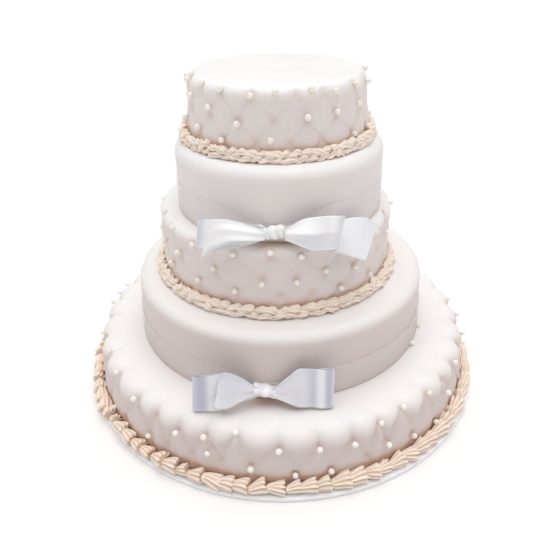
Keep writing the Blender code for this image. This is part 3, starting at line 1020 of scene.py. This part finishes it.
def make_knot(node, spread, skew, bright, material):
    """A bow's knot: a short length of ribbon wrapped aslant round the pleats."""
    low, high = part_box(node)
    centre, half = (low + high) / 2, (high - low) / 2 * Vector(spread)

    def surface(u, v):
        angle = TURN * u
        across = v - 0.5
        crease = 0.07 * np.sin(TURN * 2.5 * v + 1.0) + 0.06 * np.sin(TURN * v + 2 * angle)
        waist = 1 - 0.30 * (2 * across) ** 2 + crease
        lift = half.z * np.sin(angle) * waist
        return np.stack([
            centre.x + across * 2 * half.x * (1 + 0.1 * np.sin(angle)) + skew * lift,
            centre.y + half.y * np.cos(angle) * waist,
            centre.z + lift - skew * across * half.x], axis=1)

    # Painted light that rises and falls round the wrap and across it.
    def painted_light(u, v):
        return bright * (0.8 + 0.25 * np.sin(TURN * u) + 0.18 * np.sin(TURN * 2.5 * v + 1.0))

    piece = cut_ribbon(KNOT_CUTS, surface, painted_light)
    apply_modifier(piece, "WELD", merge_threshold=0.01 * MM)
    apply_modifier(piece, "SOLIDIFY", thickness=RIBBON_THICKNESS, offset=0.0)
    finish_piece(piece, f"satin_{node}", material, "satin_ribbon", node)
    return piece


def make_tail(node, steps, place, knot, material):
    """A ribbon's loose end, from under the knot out over the edge of the tier below."""
    edges = [np.array([getattr(step, edge) for step in steps], float) * MM for edge in ("low", "high")]
    fine = smooth_rows(np.hstack([*edges, [[step.bright * MM] for step in steps]]), 200)

    def read(u):
        shares = np.linspace(0, 1, len(fine))
        return np.stack([np.interp(u, shares, column) for column in fine.T], axis=1)

    def surface(u, v):
        row = read(u)
        point = row[:, :3] * (1 - v)[:, None] + row[:, 3:6] * v[:, None]
        sag = TAIL_SAG * np.sin(math.pi * v) * np.sin(TURN * 1.4 * u + 2 * v)
        return np.stack([
            knot.x + point[:, 0], np.full_like(u, place.y - place.foot_radius) - point[:, 1] - sag,
            place.foot + point[:, 2]], axis=1)

    # Painted light: each step's brightness, with a slow wave along the tail.
    def painted_light(u, v):
        return read(u)[:, 6] / MM + 0.1 * np.sin(TURN * 1.4 * u + 2 * v)

    piece = cut_ribbon(TAIL_CUTS, surface, painted_light)
    apply_modifier(piece, "SOLIDIFY", thickness=RIBBON_THICKNESS, offset=0.0)
    finish_piece(piece, f"satin_{node}", material, "satin_ribbon", node)
    return piece


def make_bows(material, sheer):
    lower, upper = place_of("tier_2"), place_of("tier_4")
    lower_knot, upper_knot = knot_of("bow_2_knot"), knot_of("bow_4_knot")
    for node, stations, width, bright, place, knot, rest in (
            ("bow_2_loop_left", LOWER_LEFT, LOWER_WIDTH, 0.68, lower, lower_knot, "tier_1"),
            ("bow_2_loop_right", LOWER_RIGHT, LOWER_WIDTH, 0.70, lower, lower_knot, "tier_1"),
            ("bow_4_loop_left", UPPER_LEFT, UPPER_WIDTH, 1.0, upper, upper_knot, "tier_3"),
            ("bow_4_loop_right", UPPER_RIGHT, UPPER_WIDTH, 1.0, upper, upper_knot, "tier_3")):
        make_loop(node, stations, width, bright, place, knot, material, rest)
    make_knot("bow_2_knot", (1.45, 1.75, 0.8), 0.55, 0.72, material)
    make_knot("bow_4_knot", (0.95, 1.0, 0.95), -0.3, 1.0, material)
    make_tail("bow_4_tail_left", TAIL_LEFT, upper, upper_knot, material)
    make_tail("bow_4_tail_right", TAIL_RIGHT, upper, upper_knot, material)
    make_band("band_2", "tier_2", "bow_2_knot", sheer)
    make_band("band_4", "tier_4", "bow_4_knot", sheer)


# ---------------------------------------------------------------- board, floor, light and camera

def make_board(material):
    low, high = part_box("board")
    bpy.ops.mesh.primitive_cylinder_add(
        vertices=360, radius=(high.x - low.x) / 2, depth=high.z - low.z,
        location=(0, 0, (high.z + low.z) / 2))
    board = bpy.context.object
    apply_modifier(board, "BEVEL", width=1.1 * MM, segments=4, limit_method="ANGLE")
    return finish_piece(board, "covered_board", material, "board_card", "board", smooth_degrees=35)


FLOOR_SIDE = 24  # in metres


def lay_floor():
    bpy.ops.mesh.primitive_plane_add(size=FLOOR_SIDE, location=(0, 0, -0.1 * MM))
    floor = bpy.context.object
    floor.name = "floor"
    finish = Finish("floor_white", Roughness=0.9, Base_Color=colour(FLOOR_WHITE))
    floor.data.materials.append(finish.material)


def shine(name, tilt, angle, strength, tint):
    """Even light from straight above, tilted by two angles and as soft as its own angle is wide."""
    lamp = bpy.data.lights.new(name, "SUN")
    lamp.angle = math.radians(angle)
    lamp.energy = strength
    lamp.color = tint
    light = bpy.data.objects.new(name, lamp)
    light.rotation_euler = (math.radians(tilt[0]), math.radians(tilt[1]), 0.0)
    bpy.context.scene.collection.objects.link(light)


def light_studio():
    world = bpy.context.scene.world or bpy.data.worlds.new("studio")
    bpy.context.scene.world = world
    world.use_nodes = True
    background = world.node_tree.nodes["Background"]
    background.inputs["Color"].default_value = (1.0, 0.93, 0.90, 1.0)
    background.inputs["Strength"].default_value = 0.15
    shine("overhead", (-8, 0), 80, 2.92, (0.985, 1.0, 1.005))
    shine("left", (15, -72), 60, 0.37, (1.0, 0.98, 0.97))
    shine("right", (15, 72), 60, 0.42, (1.0, 0.97, 0.955))
    shine("front", (62, 0), 50, 0.30, (1.0, 0.98, 0.97))


SENSOR_WIDTH, FOCAL_LENGTH = 36.0, 36.42  # in millimetres
CAMERA_PLACE = (-2.4 * MM, -508.35 * MM, 402.7 * MM)
LOOKS_DOWN, LEANS = 0.548, -0.013  # in radians


def set_camera():
    lens = bpy.data.cameras.new("camera")
    lens.sensor_width = SENSOR_WIDTH
    lens.lens = FOCAL_LENGTH
    camera = bpy.data.objects.new("camera", lens)
    tilt = Matrix.Rotation(math.pi / 2 - LOOKS_DOWN, 4, "X")
    camera.matrix_world = Matrix.Translation(CAMERA_PLACE) @ tilt @ Matrix.Rotation(LEANS, 4, "Z")
    bpy.context.scene.collection.objects.link(camera)
    bpy.context.scene.camera = camera


def build():
    bpy.context.scene.view_settings.view_transform = "Standard"
    paste, icing, pearl = sugar_paste(), piped_icing(), pearl_shell()
    for node in TIERS:
        make_tier = make_quilted_tier if node in QUILTS else make_plain_tier
        make_tier(node, paste)
    for node in PIPINGS:
        make_border(node, icing)
    for node, seed in (("tier_1", 61), ("tier_2", 62), ("tier_3", 63), ("tier_5", 65)):
        make_pearls(node, seed, pearl)
    make_bows(satin(), sheer_satin())
    make_board(board_paper())
    lay_floor()
    light_studio()
    set_camera()


build()
